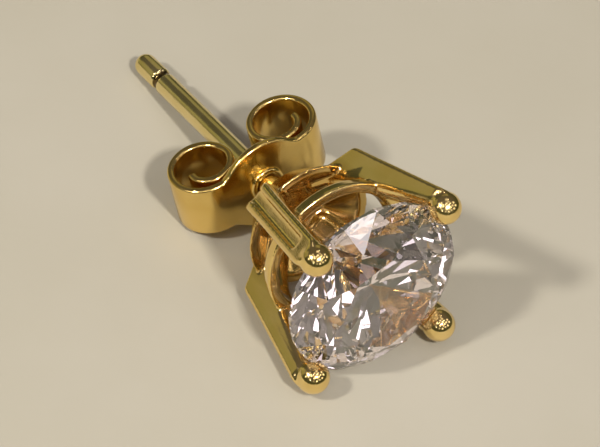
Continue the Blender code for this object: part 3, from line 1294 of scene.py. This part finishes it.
@dataclass
class Studio:
    """The pale table, the dim room, the soft lights and the camera.

    Sparks are small bright lights, given as (bearing, height). Panels are wide and soft, given as
    (bearing, height, size, glow), and their glow is multiplied by panel_gain.
    """

    floor: FloorFinish
    floor_size: float = 1.6
    floor_cells: int = 8
    eye: Triple = (-61.674, -75.103, 107.692)
    aim: Triple = (0.36, -1.86, 1.45)
    up: Triple = (0.32699, 0.66529, 0.67117)
    lens: float = 252.0
    sensor: float = 36.0
    nearest: float = 0.005
    farthest: float = 10.0
    horizon: Triple = (0.074, 0.080, 0.048)
    zenith: Triple = (0.125, 0.110, 0.108)
    climb: Span = (0.1, 0.9)
    bounces: int = 24
    glossy_bounces: int = 20
    lamps: tuple[Lamp, ...] = (
        Lamp("left_lamp", 266.0, 46.0, 26.0, 280.0, LAMP_WHITE),
        Lamp("far_wall", 221.0, 18.0, 160.0, 0.22, WALL_OLIVE),
        Lamp("low_card", 200.0, 9.0, 70.0, 0.38, WALL_OLIVE),
        Lamp("side_wall", 150.0, 28.0, 150.0, 0.20, WALL_OLIVE),
        Lamp("near_lamp", 350.0, 51.0, 26.0, 343.0, LAMP_WHITE),
    )
    spark_size: float = 7.0
    spark_glow: float = 60.0
    sparks: tuple[Span, ...] = ((305.0, 24.0), (318.0, 66.0), (28.0, 62.0), (120.0, 62.0))
    panel_gain: float = 1.4
    panels: tuple[tuple[float, float, float, float], ...] = (
        (330.0, 24.0, 44.0, 0.6), (352.0, 22.0, 42.0, 2.0), (14.0, 25.0, 46.0, 1.2),
        (36.0, 23.0, 42.0, 1.7), (60.0, 26.0, 50.0, 1.6), (332.0, 42.0, 44.0, 1.7),
        (3.0, 38.0, 36.0, 1.5), (18.0, 45.0, 44.0, 2.4), (42.0, 44.0, 40.0, 2.2),
        (68.0, 42.0, 46.0, 1.3), (325.0, 61.0, 44.0, 0.7), (14.0, 62.0, 54.0, 1.8),
        (46.0, 62.0, 44.0, 1.2), (340.0, 78.0, 50.0, 1.5), (70.0, 76.0, 60.0, 0.7),
        (140.0, 74.0, 70.0, 0.8), (300.0, 30.0, 46.0, 1.0), (298.0, 54.0, 54.0, 2.0),
        (281.0, 38.0, 38.0, 2.2), (262.0, 27.0, 42.0, 2.4), (245.0, 44.0, 44.0, 2.0),
        (282.0, 62.0, 40.0, 2.0), (250.0, 62.0, 44.0, 0.8),
    )

    def add_floor(self) -> None:
        """Lays a wide pale sheet under the earring."""
        bpy.ops.mesh.primitive_grid_add(
            size=self.floor_size, x_subdivisions=self.floor_cells, y_subdivisions=self.floor_cells
        )
        floor = named("table_top")
        floor.data.materials.append(self.floor.make())

    def add_camera(self) -> None:
        """Puts the camera where the photograph was taken from, aimed at the earring."""
        bpy.ops.object.camera_add()
        camera = bpy.context.active_object
        camera.name = "camera"
        eye = Vector(self.eye) * MM
        back = (eye - Vector(self.aim) * MM).normalized()
        right = Vector(self.up).cross(back).normalized()
        turn = Matrix((right, back.cross(right), back)).transposed()
        camera.matrix_world = Matrix.Translation(eye) @ turn.to_4x4()
        camera.data.lens = self.lens
        camera.data.sensor_width = self.sensor
        camera.data.clip_start = self.nearest
        camera.data.clip_end = self.farthest
        bpy.context.scene.camera = camera

    def add_room(self) -> None:
        """Fills the room with a dim light, greenish low down and paler overhead."""
        world = bpy.data.worlds.new("room")
        bpy.context.scene.world = world
        nodes = Nodes(world, "Background")
        way = nodes.add("ShaderNodeTexCoord", {}).outputs["Generated"]
        height = nodes.add("ShaderNodeSeparateXYZ", {"Vector": way}).outputs["Z"]
        share = nodes.spread(height, self.climb, curve="SMOOTHSTEP")
        nodes.feed(nodes.shader, {"Color": nodes.mix(share, self.horizon, self.zenith)})

    def hang_lamps(self) -> None:
        """Hangs the lamps, the sparks and the panels."""
        sparks = [(*spark, self.spark_size, self.spark_glow) for spark in self.sparks]
        panels = [(*panel[:3], self.panel_gain * panel[3]) for panel in self.panels]
        lamps = list(self.lamps)
        for kind, group in (("spark", sparks), ("panel", panels)):
            lamps += [Lamp(f"{kind}_{i}", *item, CARD_PINK) for i, item in enumerate(group)]
        for lamp in lamps:
            lamp.hang()

    def set_look(self) -> None:
        """Lets light pass often enough through the stone and between the gold faces."""
        scene = bpy.context.scene
        scene.view_settings.view_transform = "Standard"
        scene.view_settings.look = "None"
        scene.cycles.max_bounces = self.bounces
        scene.cycles.glossy_bounces = self.glossy_bounces
        scene.cycles.transmission_bounces = self.bounces

    def build(self) -> None:
        """Sets the stage."""
        self.add_floor()
        self.add_camera()
        self.add_room()
        self.hang_lamps()
        self.set_look()


def main() -> None:
    """Builds the earring's pieces and the stage in order."""
    logging.basicConfig(level=logging.INFO, format="%(name)s: %(message)s")
    placing = Placing()
    # the head's inside is painted darker near the axis, as shade in the basket
    cast_gold = GoldFinish("polished_cast_gold", basket_shade_radius=2.45)
    drawn_gold = GoldFinish(
        "polished_drawn_gold",
        bright=(0.88, 0.72, 0.35),
        deep=(0.82, 0.66, 0.28),
        roughness=0.12,
        scratch_closeness=(9.0, 9.0, 0.6),
        # the post's notch is painted dark here, as shade
        notch_shade_height=-13.60,
    )
    spring_gold = GoldFinish(
        "rolled_spring_gold", bright=(0.80, 0.58, 0.20), deep=(0.74, 0.52, 0.16), roughness=0.12
    )
    Head(Cut(), cast_gold, placing).build()
    Post(drawn_gold, placing).build()
    Stone(StoneFinish("clear_brilliant")).build()
    ButterflyBack(spring_gold, placing).build()
    Studio(FloorFinish("pale_table")).build()


if __name__ == "__main__":
    main()
